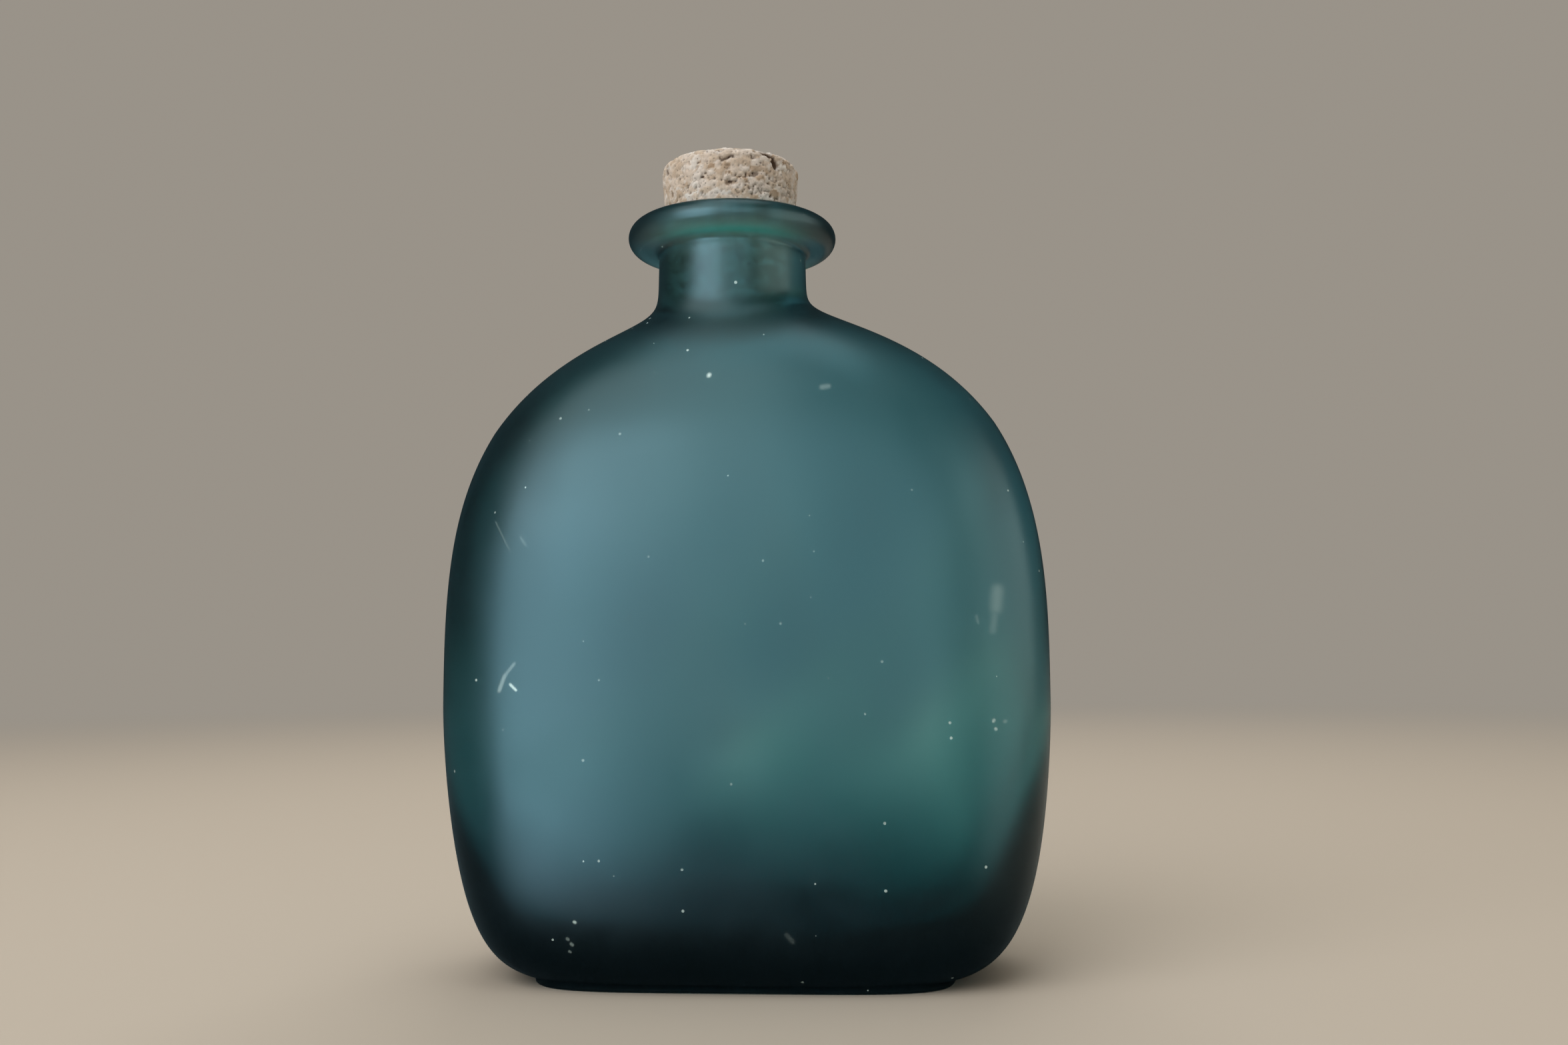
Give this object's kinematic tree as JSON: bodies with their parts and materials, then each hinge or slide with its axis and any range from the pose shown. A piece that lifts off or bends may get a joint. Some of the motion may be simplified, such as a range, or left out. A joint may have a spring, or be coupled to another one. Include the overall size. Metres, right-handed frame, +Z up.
{
  "type": "aftershave bottle",
  "caption": "Wide flat-sided frosted glass bottle with rounded shoulders, a short neck under a broad rolled lip, and a tapered cork stopper that lifts out.",
  "frame": {"origin": "on the ground under the middle of the glass body", "axes": "+Z up along the neck, +X along the wide side, -Y out of the front face"},
  "size_m": [0.1314, 0.066, 0.1796],
  "materials": {
    "frosted_glass": "frosted, teal",
    "cork": "raw pressed cork grains"
  },
  "bodies": {
    "bottle": {"bottle": "frosted_glass"},
    "cork": {"cork": "cork"}
  },
  "joints": [
    {"name": "cork_lift", "type": "slide", "parent": "bottle", "child": "cork", "axis": [0, 0, 1], "range_m": [0, 0.036]}
  ]
}
